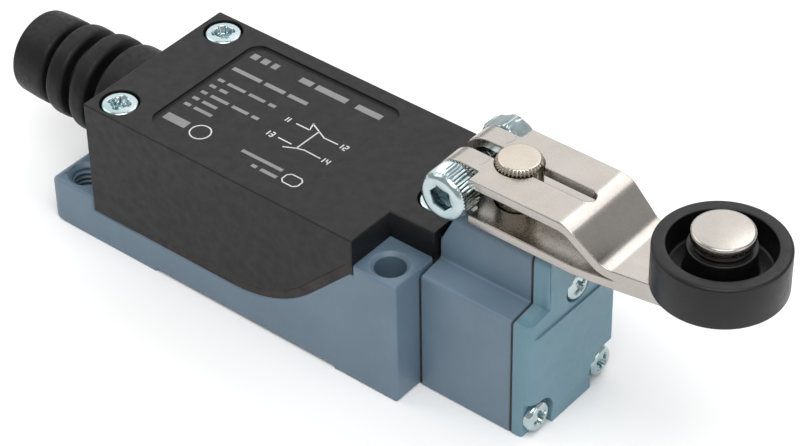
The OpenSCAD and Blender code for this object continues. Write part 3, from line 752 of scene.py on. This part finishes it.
SEGMENTS = {"1": "i", "2": "abged", "3": "abgcd", "4": "fgbc"}
SEGMENT_LINES = {
    "a": ((0, 1), (1, 1)), "b": ((1, 1), (1, 0.5)), "c": ((1, 0.5), (1, 0)), "d": ((0, 0), (1, 0)),
    "e": ((0, 0), (0, 0.5)), "f": ((0, 0.5), (0, 1)), "g": ((0, 0.5), (1, 0.5)), "i": ((0.0, 1), (0.0, 0)),
}


def numeral(bm, text, x, y, h, w):
    """Numerals of straight strokes, read along +X with their tops towards +Y, starting at x, y."""
    for digit in text:
        for seg in SEGMENTS[digit]:
            (a, b), (c, d) = SEGMENT_LINES[seg]
            strip(bm, x + a * h * 0.5, y + b * h, x + c * h * 0.5, y + d * h, w)
        x += h * (0.45 if digit == "1" else 0.85)


def contact_symbol(bm):
    """The two contacts, one closed and one open, with the bridge between them."""
    for path in (
        ((-29.45, 1.06), (-27.07, 1.06), (-27.58, 2.52)),
        ((-27.56, 2.4), (-24.37, 0.92), (-21.96, 0.98)),
        ((-29.37, -2.79), (-26.97, -2.81)),
        ((-27.57, -3.96), (-25.87, -3.09), (-24.69, -2.74), (-21.84, -2.82)),
        ((-25.81, 1.6), (-25.87, -3.09)),
    ):
        for start, end in zip(path, path[1:]):
            strip(bm, *start, *end, PRINT_W)


def thin_print(bm):
    """The contact symbol and its numerals, an empty ring and an empty box with cut corners."""
    contact_symbol(bm)
    numerals = (("11", -31.1, 0.6), ("12", -21.3, 0.5), ("13", -31.1, -3.25), ("14", -21.3, -3.3))
    for text, x, y in numerals:
        numeral(bm, text, x, y, 0.95, PRINT_W)
    ring = [(-38.4 + x, -8.4 + y) for x, y, z in circle(1.5, 0, 28)]
    box = [
        (-22.6, -9.7), (-20.9, -9.7), (-20.4, -9.2), (-20.4, -8.2),
        (-20.9, -7.7), (-22.6, -7.7), (-23.1, -8.2), (-23.1, -9.2),
    ]
    for outline in (ring, box):
        for start, end in zip(outline, outline[1:] + outline[:1]):
            strip(bm, *start, *end, PRINT_W)


def bars(bm):
    """Rows of plain bars that stand for the lines of print: start x, y, height and the bars' lengths."""
    for x, y, height, lengths in (
        (-44.6, 9.2, 1.2, (1.2, 1.2, 1.0)),
        (-35.6, 9.1, 1.1, (2.2, 5.5)),
        (-25.5, 9.1, 1.1, (4.4,)),
        (-44.7, 5.3, 0.75, (5.2, 3.6, 3.4)),
        (-44.6, 2.1, 0.6, (1.1, 3.2, 2.9, 1.2)),
        (-44.6, 0.4, 0.6, (1.1, 1.4)),
        (-44.6, -1.4, 0.6, (1.1, 3.2, 2.9, 1.2)),
        (-44.6, -3.1, 0.6, (1.1, 2.6)),
        (-44.6, -4.8, 0.6, (1.1, 3.2)),
        (-31.3, -7.9, 0.6, (7.2,)),
        (-28.2, -9.5, 0.6, (0.9, 2.8)),
        (-44.8, -8.4, 1.5, (4.0,)),
    ):
        for length in lengths:
            strip(bm, x, y, x + length, y, height)
            x += length + BAR_GAP


printed("cover_print", thin_print, "cover_plastic", "housing", PRINT)
printed("cover_bars", bars, "cover_plastic", "housing", BAR_PRINT)

# ---------------------------------------------------------------- thread ridges in the tapped hole


def thread(name, centre, z0, z1, pitch, r_out, r_in):
    """A helical ridge on the wall of a hole, sunk a little into it."""
    steps = 40
    turns = (z1 - z0) / pitch
    rows = []
    for k in range(int(steps * turns) + 1):
        a = TAU * k / steps
        z = z0 + pitch * k / steps
        half = pitch * 0.42
        section = ((r_out, -half), (r_in, -0.08), (r_in, 0.08), (r_out, half))
        rows.append([(r * math.cos(a), r * math.sin(a), z + dz) for r, dz in section])
    verts, faces = loft(rows)
    return add_object(name, place(name, verts, faces, centre, angle=20), "base_paint", "housing")


thread("thread_near", (NEAR_HOLE[0], NEAR_HOLE[1], 0), 0.6, 6.6, 0.8, 2.16, 1.8)

# ---------------------------------------------------------------- coil springs inside


def spring(node, body, wire, turns, joint=None):
    """Coil spring along X in its tube's place, with closed end turns; with a joint given, it gets its own
    copy of the mesh.
    """
    low, high = (Vector(corner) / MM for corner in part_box(node))
    length = high.x - low.x
    centre_z = (low.z + high.z) / 2
    coil_r = (high.z - low.z) / 2 - wire / 2
    steps, sides = 40, 10
    end = wire * 1.04
    pitch = (length - wire - 2 * end) / (turns - 2)
    rows = []
    for k in range(int(steps * turns) + 1):
        t = k / steps
        x = wire / 2 + min(t, 1) * end + max(0, min(t, turns - 1) - 1) * pitch + max(0, t - turns + 1) * end
        row = []
        for j in range(sides):
            b = TAU * j / sides
            r = coil_r + wire / 2 * math.cos(b)
            point_x = low.x + x + wire / 2 * math.sin(b)
            row.append((point_x, r * math.cos(TAU * t), centre_z + r * math.sin(TAU * t)))
        rows.append(row)
    verts, faces = loft(rows)
    me = place(node + "_look", verts, faces, axis=None, angle=50)
    ob = add_object(node + "_look", me, SLOT_OF[node], body, [node])
    if joint:
        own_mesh(ob)


spring("carrier_spring", "housing", 0.45, 4.5, "carrier_slide")
spring("return_spring", "housing", 0.4, 3, "piston_slide")
spring("closed_bridge_spring", "carrier", 0.3, 5)
spring("open_bridge_spring", "carrier", 0.3, 5)

# ---------------------------------------------------------------- small metal and rubber pieces

for node, body, width in (("shaft_bush", "housing", 0.1), ("roller_washer", "lever", 0.05)):
    rounded(node, body, width)

# ---------------------------------------------------------------- stage, light, camera

# Half the floor's side and its height, in metres.
FLOOR_HALF = 4
FLOOR_Z = -0.00002
floor = bpy.data.meshes.new("floor")
corners = ((-1, -1), (1, -1), (1, 1), (-1, 1))
floor.from_pydata([(x * FLOOR_HALF, y * FLOOR_HALF, FLOOR_Z) for x, y in corners], [], [(0, 1, 2, 3)])
floor_ob = bpy.data.objects.new("floor", floor)
bpy.context.scene.collection.objects.link(floor_ob)
t = Tree("floor").set(Metallic=0.0, Roughness=0.75)
t.colour(t.ramp(t.noise(3), [(0.3, (0.95, 0.95, 0.95)), (0.7, (0.97, 0.97, 0.97))]))
floor.materials.append(t.mat)

world = bpy.data.worlds.new("studio")
bpy.context.scene.world = world
world.use_nodes = True
world.node_tree.nodes["Background"].inputs[0].default_value = (1, 1, 1, 1)
world.node_tree.nodes["Background"].inputs[1].default_value = 0.5


def area_light(name, position, target, size, power):
    """A rectangular white light at position that faces target; lengths in metres."""
    data = bpy.data.lights.new(name, "AREA")
    data.shape = "RECTANGLE"
    data.size, data.size_y = size
    data.energy = power
    ob = bpy.data.objects.new(name, data)
    bpy.context.scene.collection.objects.link(ob)
    ob.location = position
    ob.rotation_mode = "QUATERNION"
    ob.rotation_quaternion = (Vector(target) - Vector(position)).to_track_quat("-Z", "Y")


area_light("key", (0.25, -0.25, 0.75), (0, 0, 0.01), (0.6, 0.6), 4.1)
area_light("back", (-0.55, 0.6, 0.62), (0, 0, 0.01), (1.0, 0.7), 2.1)
area_light("band", (0.03, 0.56, 0.75), (0.02, 0, 0.03), (0.55, 0.45), 1.7)
area_light("left", (-0.6, -0.1, 0.6), (-0.02, 0, 0.01), (0.5, 0.5), 1.4)
area_light("end", (0.75, 0.05, 0.25), (0, 0, 0.01), (0.4, 0.4), 0.7)

# Focal length over the width of the view, the camera's place in metres and its turns in degrees.
FOCAL_RATIO = 3.435375
CAMERA_PLACE = (0.171117, -0.218648, 0.248814)
CAMERA_TURNS = (39.728, 39.266, -0.989)
camera = bpy.data.cameras.new("camera")
camera_ob = bpy.data.objects.new("camera", camera)
bpy.context.scene.collection.objects.link(camera_ob)
bpy.context.scene.camera = camera_ob
camera.sensor_fit = "HORIZONTAL"
camera.sensor_width = 36.0
camera.lens = camera.sensor_width * FOCAL_RATIO
camera.clip_start, camera.clip_end = 0.01, 20
az, el, roll = (math.radians(v) for v in CAMERA_TURNS)
back = Vector((math.sin(az) * math.cos(el), -math.cos(az) * math.cos(el), math.sin(el)))
right = Vector((math.cos(az), math.sin(az), 0))
up = back.cross(right)
right2 = right * math.cos(roll) + up * math.sin(roll)
up2 = up * math.cos(roll) - right * math.sin(roll)
turned_axes = Matrix((right2, up2, back)).transposed().to_4x4()
camera_ob.matrix_world = Matrix.Translation(CAMERA_PLACE) @ turned_axes
bpy.context.scene.view_settings.view_transform = "Standard"
